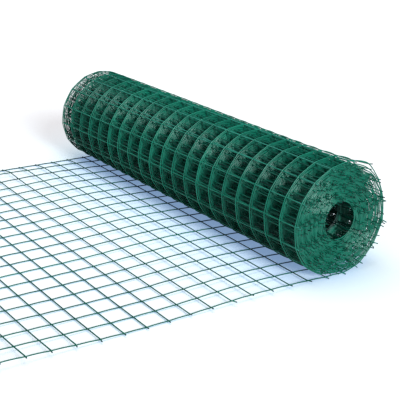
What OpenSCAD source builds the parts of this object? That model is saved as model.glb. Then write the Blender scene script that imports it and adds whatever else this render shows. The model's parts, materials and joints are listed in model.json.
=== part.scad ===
// A roll of plastic-coated welded wire mesh, lying with its loose end unrolled on the floor.
// The axis of the roll runs along Y and the unrolled sheet leads off towards -X.
// The origin is the middle of the bore.

/* [Mesh] */
// Diameter of a wire over its plastic coat
wire_d = 2.3; // [1.5:0.1:3.5]
// Depth that two crossing wires sink into each other where they are welded
weld_sink = 0.3; // [0.2:0.05:0.6]
// Side of a square, from wire centre to wire centre
cell = 50; // [30:1:75]
// Squares across the width of the mesh
cells_across = 20; // [6:1:22]
// Length of the cut wire ends past the wires at the edge
stub = 12; // [5:0.5:20]

/* [Wound part] */
// Diameter of the open bore
bore_d = 77; // [50:1:150]
// Turns of mesh around the bore
turns = 37; // [12:1:60]
// Distance from one turn to the next, with their wires packed close
turn_pitch = 2.26; // [2:0.02:6]

/* [Unrolled part] */
// Crosswise wires in the part that lies flat
flat_cross_wires = 19; // [3:1:19]
// Angle by which the sheet lies out of square with the roll
lead_angle = 1.2; // [0:0.1:3]
// Least bare lengthwise wire between the nip under the roll and the first crosswise one
bare_run = 26; // [2:1:40]
// Gap left between the flat wires and the wound part
nip_gap = 0.3; // [0.2:0.1:1]

/* [Hidden] */
wire_sides = 8;
wire_r = wire_d / 2;
// Two lapped wires, less what the weld takes up
mesh_t = 2 * wire_d - weld_sink;
edge_y = cells_across * cell / 2;
tip_y = edge_y + stub;

bore_r = bore_d / 2;
// The first turn and the last are as thick as the mesh, and the last lies loose on the others
roll_r = bore_r + 2 * mesh_t + (turns - 2) * turn_pitch;
floor_z = -roll_r;

// Where the space between the roll and the floor is just as high as the mesh is thick
nip_x = sqrt(pow(roll_r + nip_gap, 2) - pow(roll_r - mesh_t, 2));
first_cross_x = (nip_x + bare_run + wire_r + tip_y * sin(lead_angle)) / cos(lead_angle);
flat_end_x = first_cross_x + (flat_cross_wires - 1) * cell + stub;

// Place of a lengthwise wire across the width, counted from one edge
function line_y(i) = i * cell - edge_y;

// Radius at which the crosswise wires of a turn lie, the innermost turn being number 0
function cross_r(i) = i == turns - 1
    ? roll_r - mesh_t + wire_r
    : bore_r + wire_r + i * turn_pitch;

// Section of a wire: flat on top and below, as wide across its flats as the real one
module wire_section() {
    corner_r = wire_r / cos(180 / wire_sides);
    polygon([for (k = [0:wire_sides - 1])
        let (a = (k + 0.5) * 360 / wire_sides)
            corner_r * [cos(a), sin(a)]]);
}

// Half section of the wound part, the radius along x and the roll's axis along y
module roll_section() {
    // The windings, out to the crosswise wires of the last turn
    translate([bore_r, wire_r - tip_y])
        square([roll_r - wire_d + weld_sink - bore_r, 2 * (tip_y - wire_r)]);
    // Lengthwise wires of the last turn
    for (i = [0:cells_across])
        translate([roll_r - wire_r, line_y(i)])
            wire_section();
    // Cut ends of the crosswise wires, which show every turn as a ridge on both ends
    for (i = [0:turns - 1], side = [-1, 1])
        translate([cross_r(i), side * (tip_y - wire_r)])
            wire_section();
}

module wound_roll() {
    color("seagreen")
        rotate([90, 0, 0])
            rotate_extrude($fn = 120)
                roll_section();
}

// Lengthwise wires, lying on the floor and running in to the lowest line of the roll
module line_wires() {
    for (i = [0:cells_across])
        translate([-flat_end_x, line_y(i), floor_z + wire_r])
            rotate([90, 0, 90])
                linear_extrude(flat_end_x - line_y(i) * tan(lead_angle))
                    wire_section();
}

// Crosswise wires, welded on top of the lengthwise ones
module cross_wires() {
    for (i = [0:flat_cross_wires - 1])
        translate([-first_cross_x - i * cell, 0, floor_z + mesh_t - wire_r])
            rotate([90, 0, 0])
                linear_extrude(2 * tip_y, center = true)
                    wire_section();
}

// The flat sheet, cut back where its wires run in against the wound part
module unrolled_mesh() {
    color("green")
        difference() {
            rotate(-lead_angle) {
                line_wires();
                cross_wires();
            }
            rotate([90, 0, 0])
                cylinder(r = roll_r + nip_gap, h = 3 * tip_y, center = true, $fn = 240);
        }
}

wound_roll();
unrolled_mesh();
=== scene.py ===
# Roll of green plastic-coated welded wire mesh, lying down with its loose end unrolled.
# One length of mesh, 1 m wide and 20 m long: lengthwise wires below, crosswise wires welded
# on them, and the whole sheet wound on itself round an open bore.
import json
import math

import bpy
import numpy as np
from mathutils import Matrix, Vector


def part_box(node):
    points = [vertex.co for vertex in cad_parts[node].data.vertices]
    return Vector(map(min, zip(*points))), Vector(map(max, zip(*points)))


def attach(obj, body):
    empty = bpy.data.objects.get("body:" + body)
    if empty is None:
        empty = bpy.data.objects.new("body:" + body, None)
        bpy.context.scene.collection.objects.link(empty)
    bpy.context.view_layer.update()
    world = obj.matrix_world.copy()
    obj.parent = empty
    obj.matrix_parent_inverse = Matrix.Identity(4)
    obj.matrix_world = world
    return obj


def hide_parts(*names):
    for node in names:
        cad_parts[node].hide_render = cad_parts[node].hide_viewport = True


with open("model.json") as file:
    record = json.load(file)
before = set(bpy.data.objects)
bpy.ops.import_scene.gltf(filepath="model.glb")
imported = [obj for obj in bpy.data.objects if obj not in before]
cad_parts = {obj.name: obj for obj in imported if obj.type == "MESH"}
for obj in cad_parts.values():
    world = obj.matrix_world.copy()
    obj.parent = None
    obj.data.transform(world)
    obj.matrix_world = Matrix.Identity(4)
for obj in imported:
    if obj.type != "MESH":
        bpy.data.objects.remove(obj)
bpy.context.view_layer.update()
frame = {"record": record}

# ---------------------------------------------------------------- camera
# A product shot of the whole roll from its left front, 0.87 m above the floor. The lens is
# a short telephoto.
LENS_MM, SENSOR_MM = 87.96, 36.0
CAMERA_AT = Vector((-1.39331, -1.88281, 0.74089))
CAMERA_AHEAD = Vector((0.558382, 0.756039, -0.341488)).normalized()
CAMERA_RIGHT = Vector((0.810823, -0.584420, 0.031931)).normalized()
CLIP_START, CLIP_END = 0.05, 60.0

camera_up = CAMERA_RIGHT.cross(CAMERA_AHEAD).normalized()
camera_right = CAMERA_AHEAD.cross(camera_up).normalized()
camera = bpy.data.objects.new("camera", bpy.data.cameras.new("camera"))
bpy.context.scene.collection.objects.link(camera)
camera.data.lens, camera.data.sensor_width = LENS_MM, SENSOR_MM
camera.data.clip_start, camera.data.clip_end = CLIP_START, CLIP_END
turned = Matrix((camera_right, camera_up, -CAMERA_AHEAD)).transposed()
camera.matrix_world = Matrix.Translation(CAMERA_AT) @ turned.to_4x4()
bpy.context.scene.camera = camera

# ---------------------------------------------------------------- lengthwise wires
# 21 steel wires of 1.8 mm, 50 mm apart, coated to 2.3 mm after welding. They lie on the
# floor in the unrolled part and on the outside of every turn in the wound part, and each
# runs unbroken from the cut end of the sheet to the innermost turn.
MM = 0.001
WIRE_R = 1.15 * MM
FLAT_SWELL = 1.22              # how much thicker the coat makes the wire in the flat part
LAP = 2.0 * MM                 # between the middles of two crossing wires
CELL = 50 * MM
CELLS_ACROSS = 20
EDGE = CELLS_ACROSS * CELL / 2  # from the middle of the width to the wire at each edge
STUB = 12 * MM                 # cut ends past the last crossing
TURNS = 37                     # around the bore, which take up about 19 m of mesh
LAST_DROP = 3.2 * MM           # from the last turn to the one it lies on, between crossings
SHEET_YAW = math.radians(1.2)  # the sheet lies this much out of square with the roll
FIRST_CROSSING = 28.3 * MM     # from the lowest line of the roll, at the middle of the width
CELLS_FLAT = 20                # crosswise wires before the lowest line of the roll
SIDES = 6                      # of a drawn wire

roll_low, roll_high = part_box("wound_roll")
sheet_low, sheet_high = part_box("unrolled_mesh")
ROLL_R = roll_high.z
FLOOR_Z = sheet_low.z
BORE_R = frame["record"]["mounts"][0]["dims"]["r_mm"] * MM
SPIRAL_R = ROLL_R - WIRE_R
FLAT_R = FLAT_SWELL * WIRE_R
PITCH = (SPIRAL_R - LAST_DROP - LAP - WIRE_R - BORE_R) / (TURNS - 1)
ONCE = 2 * np.pi               # once round the roll, in radians

line_y = (np.arange(CELLS_ACROSS + 1) - CELLS_ACROSS / 2) * CELL


def eased(x):
    """Smooth step from 0 to 1 as x goes from 0 to 1: three times its square less twice its
    cube."""
    x = np.clip(x, 0, 1)
    return x * x * (3 - 2 * x)


def between(x, start, full, fading, gone):
    """0 up to start, 1 from full to fading and 0 again from gone on: a rising smooth step
    times one less a second one."""
    return eased((x - start) / (full - start)) * (1 - eased((x - fading) / (gone - fading)))


def even_radius(phi):
    """Radius to the lengthwise wires, phi radians in from the lowest line of the roll. It
    falls evenly by LAST_DROP over the first turn and by PITCH over each one after."""
    fall = LAST_DROP * np.minimum(phi, ONCE) + PITCH * np.maximum(phi - ONCE, 0)
    return SPIRAL_R - fall / ONCE


# Length of wire from the lowest line to each of 360 places round each turn: the running sum
# of the radius times the step of angle. Between two crossings the stiff wire runs straighter
# than the arc, and so is shorter by a sixteenth of the square of a cell over the radius. It
# has a little slack where the last turn closes on the one inside it.
STEPS = 360
CORNER_CUT = 0.7 * MM          # radius by which the wire is shorter than the arc, past turn 1
SLACK = 6 * MM
SLACK_FROM, SLACK_TO = 5.4, 6.2  # radians in

phi_steps = np.arange(TURNS * STEPS) * ONCE / STEPS
even_steps = even_radius(phi_steps)
chord_share = 1 - (CELL / even_steps) ** 2 / 16
corner_cut = CORNER_CUT * np.minimum(phi_steps / ONCE, 1)
wound_steps = np.cumsum((even_steps - corner_cut) * chord_share) * ONCE / STEPS
wound_steps += SLACK * eased((phi_steps - SLACK_FROM) / (SLACK_TO - SLACK_FROM))
wound_steps -= wound_steps[0]

# Shares of the yaw, with the metres past the lowest line at which each sets in, is full,
# fades and is gone
LOST_UP_THE_BACK, UP_THE_BACK = 0.31, (0.02, 0.12, 0.3, 0.5)
WON_OVER_THE_TOP, OVER_THE_TOP = 0.45, (0.25, 0.32, 0.38, 0.44)
LOST_INSIDE, INSIDE_FROM, INSIDE_FULL = 0.85, 0.65, 0.9
PACKED_AT = 1.0                # metres in, where the yaw is down to what the inner turns keep


def lead(u, y):
    """How much further on the sheet is at y, because it lies out of square with the roll: y
    times the tangent of the yaw, less the shares that are lost up the back of the roll and
    inside the last turn, and with the share that is won back over the top."""
    lost = LOST_UP_THE_BACK * between(u, *UP_THE_BACK)
    lost = lost + LOST_INSIDE * eased((u - INSIDE_FROM) / (INSIDE_FULL - INSIDE_FROM))
    lost = lost - WON_OVER_THE_TOP * between(u, *OVER_THE_TOP)
    return y * math.tan(SHEET_YAW) * (1 - lost)


CROSSING_REACH = 14 * MM       # a crosswise wire lifts the turn on it this far to each side
BRIDGED = 6                    # places to each side that the stiff wire's mean runs over


def packed_radii():
    """Radii of the lengthwise wires, one row for each wire and one column for each place on
    the spiral. From the inside out, a turn lies on the one before: a wire's thickness further
    out, and LAP more where its crosswise wires come between, which goes with the squared
    cosine of the way to the nearest one. The dips that the stiff wire bridges are filled by
    a moving mean. What is left over at the top is shared evenly among the turns."""
    u = wound_steps - lead(PACKED_AT, line_y[:, None])
    off = np.abs((u - FIRST_CROSSING + CELL / 2) % CELL - CELL / 2)
    lift = np.cos(np.minimum(off / CROSSING_REACH, 1) * np.pi / 2) ** 2
    lift = lift.reshape(len(line_y), TURNS, STEPS)
    even = np.broadcast_to(even_steps.reshape(TURNS, STEPS), lift.shape)
    radii = even.copy()
    for turn in range(TURNS - 2, 0, -1):
        lying = radii[:, turn + 1] + 2 * WIRE_R + LAP * lift[:, turn]
        bridged = sum(np.roll(lying, k, -1) for k in range(-BRIDGED, BRIDGED + 1))
        radii[:, turn] = np.maximum(lying, bridged / (2 * BRIDGED + 1))
    left_over = radii[:, 1] - even[:, 1]
    share = (TURNS - 1 - np.arange(TURNS)) / (TURNS - 2)
    share[0] = 0
    radii -= share[:, None] * left_over[:, None]
    return radii.reshape(len(line_y), -1)


radius_table = packed_radii()
SHORT_OF = 0.001               # keeps a place from being read past the table's last one


def wound_radius(phi, y):
    """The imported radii, read between their places: a straight-line mean along the spiral,
    and then another across the width."""
    at = np.clip(phi * STEPS / ONCE, 0, TURNS * STEPS - 1 - SHORT_OF)
    row = np.clip(y / CELL + CELLS_ACROSS / 2, 0, CELLS_ACROSS - SHORT_OF)
    i, j = row.astype(int), at.astype(int)
    a, b = row - i, at - j
    along = [radius_table[i + k, j] * (1 - b) + radius_table[i + k, j + 1] * b for k in (0, 1)]
    return along[0] * (1 - a) + along[1] * a


# How far the springy last turn stands off the tight winding at the near end, by degrees
# round from the lowest line, and what each turn takes of that from the one outside it
LOOSE_AT = np.radians([0, 10, 34, 56, 79, 102, 126, 149, 172, 195, 222, 360])
LOOSE_BY = np.array([0, 2.4, 8.6, 10.2, 10.8, 5.6, 6.2, 11.6, 5.7, 1.4, 0, 0]) * MM
LOOSE_SHARE = np.array([0.96, 0.96, 0.96, 0.96, 0.96, 0.94, 0.86, 0.45, 0.35, 0.35, 0.35, 0.35])
LOOSE_REACH = 75 * MM          # how quickly that fades along the roll
# Where the turns inside the last one sag apart low on the back at the near end, and rise
# under it over the top: how far, and the radians round at which that sets in, is full,
# fades and is gone
SAG_BY, SAG_ROUND = 1.8 * MM, (0, 0.3, 2.0, 2.5)
RISE_BY, RISE_ROUND = 1.0 * MM, (1.7, 2.3, 2.9, 3.6)
FADE = 0.85                    # what each turn takes of those two from the one outside it
# The last turn's crosswise wires are pressed outwards where the sheet bends over the crown
CROWN_BY, CROWN_ROUND = 1.5 * MM, (2.2, 2.55, 2.85, 3.2)
# How the turns draw apart at the far end, by turns in
SPREAD_AT = np.array([0, 0.95, 1.4, 1.95, 2.4, 2.95, 3.4, 4.5, 5.5, 9, TURNS])
SPREAD_BY = np.array([-1, -1, 0.8, 0.8, 0.6, 0.6, 0.3, 0, -0.3, -0.8, 0]) * MM
SPREAD_REACH = 45 * MM
CLOSING_FROM, CLOSED = 5.2, 6.2  # radians in, where the last turn comes down on the next


def stand_off(phi, y, depth):
    """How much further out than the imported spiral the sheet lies, as a sum: the last turn's
    LAST_DROP until it closes, its loose reach at the near end times a power of what each
    turn takes from the next, the sag and the rise of the turns inside it, the crown for the
    crosswise wires, and the spread at the far end. Those at an end fade exponentially."""
    turn = np.floor(phi / ONCE)
    round_once = phi - turn * ONCE
    faded = np.where(turn > 0, FADE ** (turn - 1), 0)
    near_end = np.exp(-np.maximum(y + EDGE, -STUB) / LOOSE_REACH)
    far_end = np.exp((y - EDGE) / SPREAD_REACH)

    closing = 1 - eased((phi - CLOSING_FROM) / (CLOSED - CLOSING_FROM))
    off = np.where(turn < 1, LAST_DROP * phi / ONCE * closing, 0)
    share = np.interp(round_once, LOOSE_AT, LOOSE_SHARE)
    off += np.interp(round_once, LOOSE_AT, LOOSE_BY) * share ** turn * near_end
    off += SAG_BY * between(round_once, *SAG_ROUND) * near_end * faded
    off += RISE_BY * between(round_once, *RISE_ROUND) * faded
    off += CROWN_BY * between(phi, *CROWN_ROUND) * np.clip(depth / LAP, 0, 1)
    off += far_end * np.interp(phi / ONCE, SPREAD_AT, SPREAD_BY)
    return off


ASIDE = 3.5 * MM               # the wound part lies this much further back than the flat one
ASIDE_FROM, ASIDE_FULL = 0.1, 1.1  # radians in
WANDER = 0.8 * MM
WANDER_FROM, WANDER_FULL = 5.0, 9.0  # radians in


def along_roll(phi):
    """How far the sheet is shifted along the roll: ASIDE, plus a slow wander of the turns
    inside the last one, which is the sum of a sine of phi and a weaker, faster one."""
    wander = np.sin(0.83 * phi + 0.7) + 0.7 * np.sin(1.91 * phi + 2.2)
    wander *= WANDER * eased((phi - WANDER_FROM) / (WANDER_FULL - WANDER_FROM))
    return wander + ASIDE * eased((phi - ASIDE_FROM) / (ASIDE_FULL - ASIDE_FROM))


# The flat part stands off the floor in three places, given in metres before the lowest line
# of the roll and off the middle of the width. It springs up before the roll.
SPRING_BY, SPRING_AT, SPRING_REACH = 7.0 * MM, 0.209, 0.149
SPRING_FULL, SPRING_EDGE = 0.08, 0.02
# It buckles near the far edge.
BUCKLE_BY, BUCKLE_Y, BUCKLE_REACH = 6 * MM, 0.44, 0.035
BUCKLE_BEFORE = (0.22, 0.34, 0.6, 0.8)
# It curls up at the near corner of its cut end, as mesh off a roll does.
CURL_BY, CURL_REACH = 16 * MM, 0.11
CURL_FROM, CURL_FULL = 0.47, 0.92


def flat_rise(before, y):
    """Height of the flat part off the floor, as a sum of three. The spring is a bell over
    the distance before the roll, nothing at the roll and gone exponentially at the far
    edge. The buckle is a narrow bell over y. The curl fades exponentially from the near
    edge, and sets in with a smooth step."""
    spring = (SPRING_BY * np.exp(-((before - SPRING_AT) / SPRING_REACH) ** 2)
              * eased(before / SPRING_FULL) * (1 - np.exp((y - EDGE) / SPRING_EDGE)))
    buckle = (BUCKLE_BY * np.exp(-((y - BUCKLE_Y) / BUCKLE_REACH) ** 2)
              * between(before, *BUCKLE_BEFORE))
    curl = (CURL_BY * np.exp(-(y + EDGE) / CURL_REACH)
            * eased((before - CURL_FROM) / (CURL_FULL - CURL_FROM)))
    return spring + buckle + curl


def sheet_point(u, y, depth):
    """Place and inward direction of the sheet, u metres from the lowest line of the roll
    (the flat part is negative) and y metres off the middle of its width, depth metres
    inside the middle of the lengthwise wires.

    Flat: the floor plane turned by the yaw, plus the rise. Wound: at the angle where the
    wound length is u plus the lead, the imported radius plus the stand-off less the depth,
    with no point under the floor."""
    u, y, depth = np.broadcast_arrays(u, y, depth)
    w = u + lead(u, y)
    flat = w < 0

    x_flat = w * math.cos(SHEET_YAW)
    y_flat = y * math.cos(SHEET_YAW) - u * math.sin(SHEET_YAW)
    z_flat = FLOOR_Z + FLAT_R + flat_rise(-x_flat, y) + depth
    place_flat = np.stack([x_flat, y_flat, z_flat], -1)
    inward_flat = np.stack([0 * w, 0 * w, 0 * w + 1], -1)

    phi = np.interp(w, wound_steps, phi_steps)
    radius = wound_radius(phi, y) + stand_off(phi, y, depth) - depth
    theta = phi - np.pi / 2
    y_wound = y / math.cos(SHEET_YAW) + along_roll(phi)
    z_wound = np.maximum(radius * np.sin(theta), FLOOR_Z + FLAT_R)
    place = np.stack([radius * np.cos(theta), y_wound, z_wound], -1)
    inward = np.stack([-np.cos(theta), 0 * phi, -np.sin(theta)], -1)

    choose = flat[..., None]
    return np.where(choose, place_flat, place), np.where(choose, inward_flat, inward)


def wire_tubes(name, middle, inward, radius, shade):
    """Closed round tubes, one for each row of the grid: around the middle line of ring j
    of wire i, vertex k lies at middle + radius * (cos(a)*inward + sin(a)*sideways), where
    a is k even parts of a full turn and sideways is square to the wire and to inward. One
    vertex closes each end."""
    wires, rings = radius.shape
    along = np.gradient(middle, axis=1)
    along /= np.linalg.norm(along, axis=-1, keepdims=True)
    inward = inward - (inward * along).sum(-1, keepdims=True) * along
    inward /= np.linalg.norm(inward, axis=-1, keepdims=True)
    sideways = np.cross(along, inward)
    a = np.arange(SIDES) * ONCE / SIDES
    ring = np.cos(a)[:, None] * inward[:, :, None] + np.sin(a)[:, None] * sideways[:, :, None]
    body = (middle[:, :, None] + radius[:, :, None, None] * ring).reshape(wires, -1, 3)
    verts = np.concatenate([body, middle[:, :1], middle[:, -1:]], 1)
    per_wire = verts.shape[1]

    j, k = np.meshgrid(np.arange(rings - 1), np.arange(SIDES), indexing="ij")
    j, k = j.ravel(), k.ravel()
    k2 = (k + 1) % SIDES
    quads = np.stack([j * SIDES + k, j * SIDES + k2, (j + 1) * SIDES + k2, (j + 1) * SIDES + k], 1)
    k = np.arange(SIDES)
    k2 = (k + 1) % SIDES
    first, last = rings * SIDES, rings * SIDES + 1
    start = np.stack([0 * k + first, k2, k], 1)
    end = np.stack([0 * k + last, (rings - 1) * SIDES + k, (rings - 1) * SIDES + k2], 1)
    base = (np.arange(wires) * per_wire)[:, None, None]
    quads = (quads[None] + base).reshape(-1, 4)
    caps = (np.concatenate([start, end])[None] + base).reshape(-1, 3)

    mesh = bpy.data.meshes.new(name)
    mesh.from_pydata(verts.reshape(-1, 3).tolist(), [], quads.tolist() + caps.tolist())
    mesh.polygons.foreach_set("use_smooth", np.ones(len(mesh.polygons), bool))
    tone = mesh.attributes.new("shade", "FLOAT", "POINT")
    ends = shade[:, [0, -1]]
    tone.data.foreach_set("value", np.concatenate([np.repeat(shade, SIDES, 1), ends], 1)
                          .ravel().astype(np.float32))
    mesh.update()
    piece = bpy.data.objects.new(name, mesh)
    bpy.context.scene.collection.objects.link(piece)
    return piece


def linear(hex_colour):
    """sRGB hex to linear colour with alpha 1."""
    srgb = np.array([int(hex_colour[i:i + 2], 16) for i in (1, 3, 5)]) / 255
    low, high = srgb / 12.92, ((srgb + 0.055) / 1.055) ** 2.4
    return (*np.where(srgb <= 0.04045, low, high).tolist(), 1.0)


def add_node(tree, kind, settings=None, **links):
    """A node of that kind. settings sets its properties and unlinked inputs. Each link joins
    an input of it to an output: n0 is input number 0, and otherwise a link has the input's
    name, with _ for a space."""
    node = tree.nodes.new("ShaderNode" + kind)
    for key, value in (settings or {}).items():
        if isinstance(key, str) and hasattr(node, key):
            setattr(node, key, value)
        else:
            node.inputs[key].default_value = value
    for key, output in links.items():
        slot = int(key[1:]) if key[0] == "n" and key[1:].isdigit() else key.replace("_", " ")
        tree.links.new(node.inputs[slot], output)
    return node


# PVC powder coat, fused on: a satin dark green skin with a faint orange peel, deeper in tone
# where it ran thicker. Through the shade attribute its colour also carries painted light and
# painted shade: a paler last turn, a painted highlight on the top row, a darker flat part and
# bore.
STREAK = 20 * MM               # length of the streaks of thicker and thinner coat
PEEL = 1.5 * MM                # from dimple to dimple of the orange peel
PEEL_DEEP = 0.1 * MM
pvc = bpy.data.materials.new("pvc_powder_coat_green")
pvc.use_nodes = True
tree = pvc.node_tree
tree.nodes.clear()
place = add_node(tree, "TexCoord")
tone = add_node(tree, "Attribute", {"attribute_name": "shade"})
streaks = add_node(tree, "TexNoise", {"Scale": 1 / STREAK, "Detail": 3.0, "Roughness": 0.6},
                   Vector=place.outputs["Object"])
mixed = add_node(tree, "Math", {"operation": "MULTIPLY_ADD", 1: 0.5},
                 n0=streaks.outputs["Fac"], n2=tone.outputs["Fac"])
colour = add_node(tree, "ValToRGB", Fac=mixed.outputs[0])
ramp = colour.color_ramp
ramp.elements[0].position, ramp.elements[0].color = 0.0, linear("#021F1E")
ramp.elements[1].position, ramp.elements[1].color = 1.0, linear("#3C9A86")
ramp.elements.new(0.8).color = linear("#0D8268")
ramp.elements.new(0.2).color = linear("#035444")
peel = add_node(tree, "TexNoise", {"Scale": 1 / PEEL, "Detail": 1.0},
                Vector=place.outputs["Object"])
bump = add_node(tree, "Bump", {"Strength": 0.12, "Distance": PEEL_DEEP},
                Height=peel.outputs["Fac"])
coat = add_node(tree, "BsdfPrincipled", {"IOR": 1.55, "Roughness": 0.36},
                Base_Color=colour.outputs["Color"], Normal=bump.outputs["Normal"])
add_node(tree, "OutputMaterial", Surface=coat.outputs["BSDF"])


def finish_piece(piece, *nodes):
    """Gives the piece its coat and its body, and hides the CAD nodes it stands for."""
    piece.data.materials.append(pvc)
    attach(piece, "root")
    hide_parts(*nodes)


# Rings of a wire from one crossing to the next, in parts of a cell, and those of its rounded
# cut ends, from the tip
CELL_RINGS = np.array([0, 0.12, 0.28, 0.5, 0.72, 0.88])
END_RINGS = np.array([1.0, 0.92, 0.72]) * STUB
END_SWELL = np.array([0.6, 1.0, 1.0])
# Between two crossings the wire bows as a parabola: in from the curve in the last turn, by
# less and less in the next one, and up in the flat part
BOW_WOUND, BOW_FLAT = 1.4 * MM, 0.8 * MM
BOW_FROM, BOW_GONE = 0.7, 1.0  # metres past the lowest line
WAVER = 0.25 * MM              # to either side, as the sum of two sines along the wire
# Metres past the lowest line at which the last turn sets in, is whole, fades and is gone,
# and over which the innermost turns set in
LAST_TURN = (0, 0.1, 0.7, 0.9)
INNERMOST_TURNS, INNERMOST_EASE = 5, 0.8
# Tone of the coat: the mean, how much one wire differs from the next, and what the flat
# part, the last turn and the innermost turns differ by. Only the spread from wire to wire is
# the coat's own. The rest is painted: painted shade darkens the flat part, painted light makes
# the last turn's wires paler, and painted shade darkens the innermost turns in the bore.
TONE, LINE_UNLIKE = 0.25, 0.12
LINE_FLAT_SHADE, LINE_LAST_LIT, LINE_BORE_SHADE = -0.15, 0.15, -0.5
# How much thicker the wire is in the last turn, and the metres past the lowest line by which
# it is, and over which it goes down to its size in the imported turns
LAST_SWELL, LAST_FULL = 1.06, 0.2
PACKED_FROM, PACKED_FULL = 0.6, 0.9


def coat_swell(u):
    """How much thicker than its nominal size the wire is: FLAT_SWELL in the flat part,
    LAST_SWELL in the last turn and 1 where the turns are packed, with a smooth step from
    each to the next."""
    return (FLAT_SWELL - (FLAT_SWELL - LAST_SWELL) * eased(u / LAST_FULL)
            - (LAST_SWELL - 1) * eased((u - PACKED_FROM) / (PACKED_FULL - PACKED_FROM)))


flat_start = FIRST_CROSSING - CELLS_FLAT * CELL
cells_long = int((wound_steps[-1] - 2 * STUB - flat_start) / CELL)
u_long = flat_start + CELL * (np.arange(cells_long)[:, None] + CELL_RINGS).ravel()
phase_long = np.tile(CELL_RINGS, cells_long)
u_end = flat_start + CELL * cells_long
u_line = np.concatenate([flat_start - END_RINGS, u_long, [u_end], u_end + END_RINGS[::-1]])
swell_line = np.concatenate([END_SWELL, np.ones(len(u_long) + 1), END_SWELL[::-1]])
phase_line = np.concatenate([0 * END_RINGS, phase_long, [0], 0 * END_RINGS])

u_grid, y_grid = np.meshgrid(u_line, line_y)
bow = BOW_WOUND * (1 - eased((u_line - BOW_FROM) / (BOW_GONE - BOW_FROM)))
inset = np.where(u_line > 0, bow, BOW_FLAT) * 4 * phase_line * (1 - phase_line)
middle, inward = sheet_point(u_grid, y_grid, np.broadcast_to(inset, u_grid.shape))
middle[..., 1] += WAVER * (np.sin(u_grid * 31 + 5 * y_grid) + np.sin(u_grid * 12.3 + 90 * y_grid))

chance = np.random.default_rng(7)
line_shade = np.repeat(TONE + LINE_UNLIKE * chance.standard_normal((CELLS_ACROSS + 1, 1)),
                       len(u_line), 1)
# Painted shade darkens the flat part, and painted light makes the last turn paler.
line_shade += LINE_FLAT_SHADE * (u_line < 0) + LINE_LAST_LIT * between(u_line, *LAST_TURN)
innermost_from = wound_steps[-INNERMOST_TURNS * STEPS]
# Painted shade in the bore: all but the edge wires of the innermost turns are darkened.
line_shade[1:-1] += LINE_BORE_SHADE * eased((u_line - innermost_from) / INNERMOST_EASE)

for name, wires in (("lengthwise_wires_near", slice(0, 5)),
                    ("lengthwise_wires_middle_near", slice(5, 10)),
                    ("lengthwise_wires_middle_far", slice(10, 15)),
                    ("lengthwise_wires_far", slice(15, 21))):
    radius = WIRE_R * np.broadcast_to(swell_line * coat_swell(u_line), u_grid.shape)[wires]
    piece = wire_tubes(name, middle[wires], inward[wires], radius, line_shade[wires])
    finish_piece(piece, "wound_roll", "unrolled_mesh")

# ---------------------------------------------------------------- crosswise wires
# The same coated wire, resistance welded on the inner side of the lengthwise wires every
# 50 mm. Its cut ends stand 12 mm past the near edge wire and only 3 mm past the far one.
FAR_STUB = 0.25                # of a near cut end
FAR_WELD_SWELL = 1.13          # where the far cut end is too short to let the coat run off
UNEVEN_CUT = 0.12              # spread of the cut ends' length, as a share of it
KNOCKED = 1.8 * MM             # spread of how far the tips are bent
# Tone of the coat, as for the lengthwise wires: the spread from wire to wire is the coat's own,
# and the rest is painted. Painted light makes the last turn paler, and a painted highlight
# brightens most of all the row that lies along the top. Painted shade darkens the turns inside
# it, the innermost turns in the bore and the flat part.
CROSS_UNLIKE = 0.15
CROSS_FLAT_SHADE, CROSS_BORE_SHADE = -0.2, -0.45
LAST_TURN_LIT, INNER_TURNS_SHADE = 0.3, -0.5  # on the last turn, and what the turns inside it differ by
INNER_SHADE_FROM, INNER_SHADE_TO = 0.8, 2.8  # turns in
TURN_LENGTH = 0.79             # of mesh, once round the last turn
OUTSIDE_LIT, OUTSIDE_TO = 0.1, 0.5  # more, up to this many metres past the lowest line
TOP_ROW_HIGHLIGHT, TOP_ROW = 0.3, (0.33, 0.35, 0.4, 0.42)
# The near cut ends are made darker at the tip and paler just behind it, up to the edge crossing
TIP_TONES, NECK_TONES = (-0.45, -0.3), (0.3, 0.15)

cross_u = flat_start + CELL * np.arange(cells_long + 1)
y_cross = np.concatenate([-EDGE - END_RINGS, line_y[:-1], [EDGE],
                          EDGE + FAR_STUB * END_RINGS[::-1]])
swell_cross = np.concatenate([END_SWELL, np.ones(CELLS_ACROSS), [FAR_WELD_SWELL],
                              END_SWELL[::-1]])
y_grid, u_grid = np.meshgrid(y_cross, cross_u)
wires = len(cross_u)
row = np.arange(wires)[:, None]
beyond = np.clip((np.abs(y_grid) - EDGE) / STUB, 0, 1)
side = (y_grid > 0).astype(int)
longer = 1 + UNEVEN_CUT * chance.standard_normal((wires, 2))
bent = KNOCKED * chance.standard_normal((wires, 2, 2))
y_grid = y_grid + np.sign(y_grid) * beyond * STUB * (longer[row, side] - 1)
middle, inward = sheet_point(u_grid + bent[row, side, 0] * beyond, y_grid, LAP + 0 * y_grid)
middle = middle + inward * (bent[row, side, 1] * beyond ** 2)[..., None]
radius = WIRE_R * swell_cross * coat_swell(u_grid)
middle[..., 2] = np.maximum(middle[..., 2], FLOOR_Z + radius)

cross_shade = np.repeat(TONE + CROSS_UNLIKE * chance.standard_normal((wires, 1)),
                        len(y_cross), 1)
turns_in = cross_u / TURN_LENGTH
# Painted light on the last turn's crosswise wires, going over into painted shade on the turns
# inside it, with a painted highlight along the top row
painted_light_and_shade = LAST_TURN_LIT + INNER_TURNS_SHADE * eased((turns_in - INNER_SHADE_FROM) / (INNER_SHADE_TO - INNER_SHADE_FROM))
painted_light_and_shade += TOP_ROW_HIGHLIGHT * between(cross_u, *TOP_ROW) + OUTSIDE_LIT * (cross_u < OUTSIDE_TO)
cross_shade += np.where(cross_u > 0, painted_light_and_shade, 0)[:, None]
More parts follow.
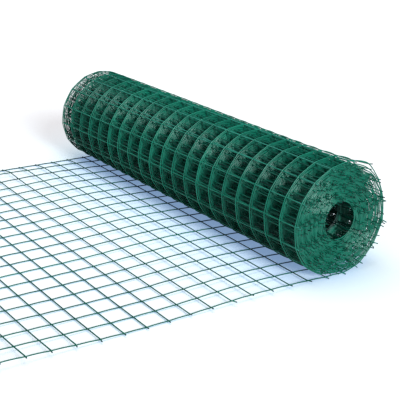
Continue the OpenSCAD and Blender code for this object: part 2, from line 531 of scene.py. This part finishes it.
# Painted shade in the bore: the innermost turns are darkened, all but their cut ends and edge
# crossings
deeper = CROSS_BORE_SHADE * eased((cross_u[:, None] - innermost_from) / INNERMOST_EASE)
cross_shade += deeper * (np.abs(y_cross) < EDGE - STUB)
cross_shade[:, :2] = TIP_TONES
cross_shade[:, 2:4] += NECK_TONES
flat_wires = int((cross_u < 0).sum())
# Painted shade darkens the flat part
cross_shade[:flat_wires] += CROSS_FLAT_SHADE
piece = wire_tubes("crosswise_wires_flat", middle[:flat_wires], inward[:flat_wires],
                   radius[:flat_wires], cross_shade[:flat_wires])
finish_piece(piece, "unrolled_mesh")
piece = wire_tubes("crosswise_wires_wound", middle[flat_wires:], inward[flat_wires:],
                   radius[flat_wires:], cross_shade[flat_wires:])
finish_piece(piece, "wound_roll")

# ---------------------------------------------------------------- floor
# A wide sweep of matt white studio paper. To the eye it is paper white, and it keeps the
# soft shade under the roll and round it.
FLOOR_HALF = 14.0
CLEAR = 0.2 * MM               # the paper lies this far under the wires
SKY_REACH = 0.5                # how far off a thing can be and still shade the paper
PLAIN_FROM, PLAIN_TO = 1.0, 2.5  # from the roll, over which the shade goes over into white
WHITE = (1, 1, 1, 1)
floor_mesh = bpy.data.meshes.new("studio_floor")
corners = np.array([[-1, -1], [1, -1], [1, 1], [-1, 1]]) * FLOOR_HALF
floor_mesh.from_pydata([(x, y, FLOOR_Z - CLEAR) for x, y in corners.tolist()], [],
                       [(0, 1, 2, 3)])
floor = bpy.data.objects.new("studio_floor", floor_mesh)
bpy.context.scene.collection.objects.link(floor)
paper = bpy.data.materials.new("studio_paper")
paper.use_nodes = True
tree = paper.node_tree
tree.nodes.clear()
matt = add_node(tree, "BsdfDiffuse", {"Color": linear("#E2E7E9")})
# The white that the eye sees fades to a cool grey where the roll shuts out the open sky
open_sky = add_node(tree, "AmbientOcclusion", {"samples": 8, "Distance": SKY_REACH})
tint = add_node(tree, "ValToRGB", Fac=open_sky.outputs["AO"])
ramp = tint.color_ramp
ramp.elements[0].position, ramp.elements[0].color = 0.5, linear("#7793B8")
ramp.elements[1].position, ramp.elements[1].color = 1.0, linear("#BAABA8")
ramp.elements.new(0.75).color = linear("#9CA8AF")
ramp.elements.new(0.9).color = linear("#B2ACAD")
spot = add_node(tree, "TexCoord")
reach = add_node(tree, "VectorMath", {"operation": "LENGTH"}, n0=spot.outputs["Object"])
distance = add_node(tree, "MapRange", {"From Min": PLAIN_FROM, "From Max": PLAIN_TO},
                    Value=reach.outputs["Value"])
seen_colour = add_node(tree, "Mix", {"data_type": "RGBA", 7: WHITE},
                       Factor=distance.outputs[0], n6=tint.outputs["Color"])
seen = add_node(tree, "LightPath")
glow = add_node(tree, "Emission", Color=seen_colour.outputs[2],
                Strength=seen.outputs["Is Camera Ray"])
both = add_node(tree, "AddShader", n0=matt.outputs[0], n1=glow.outputs[0])
add_node(tree, "OutputMaterial", Surface=both.outputs[0])
floor_mesh.materials.append(paper)

# ---------------------------------------------------------------- light
# A far key light past the near end of the roll, to the right of the camera and higher, a
# weak large softbox straight above, and a pale room that fills the shade.
KEY_AHEAD = Vector((0.145, 0.9, -0.411))  # the way its light goes
KEY_DISC, KEY_ENERGY = math.radians(18), 3.0
KEY_COLOUR = (0.88, 0.97, 1.0)
SOFTBOX_AT, SOFTBOX_ACROSS, SOFTBOX_ENERGY = (-0.3, 0, 2.4), 2.0, 32.0
SOFTBOX_COLOUR = (0.82, 0.93, 1.0)
ROOM_FILL = (0.14, 0.16, 0.17, 1)

key = bpy.data.lights.new("key", "SUN")
key.angle, key.energy, key.color = KEY_DISC, KEY_ENERGY, KEY_COLOUR
lamp = bpy.data.objects.new("key", key)
lamp.rotation_euler = KEY_AHEAD.to_track_quat("-Z", "Y").to_euler()
bpy.context.scene.collection.objects.link(lamp)

softbox = bpy.data.lights.new("softbox", "AREA")
softbox.shape, softbox.size, softbox.energy = "DISK", SOFTBOX_ACROSS, SOFTBOX_ENERGY
softbox.color = SOFTBOX_COLOUR
lamp = bpy.data.objects.new("softbox", softbox)
lamp.location = SOFTBOX_AT
bpy.context.scene.collection.objects.link(lamp)

room = bpy.data.worlds.new("white_room")
bpy.context.scene.world = room
room.use_nodes = True
tree = room.node_tree
tree.nodes.clear()
seen = add_node(tree, "LightPath")
level = add_node(tree, "Mix", {"data_type": "RGBA", 6: ROOM_FILL, 7: WHITE},
                 Factor=seen.outputs["Is Camera Ray"])
sky = add_node(tree, "Background", Color=level.outputs[2])
add_node(tree, "OutputWorld", Surface=sky.outputs[0])
bpy.context.scene.view_settings.view_transform = "Standard"
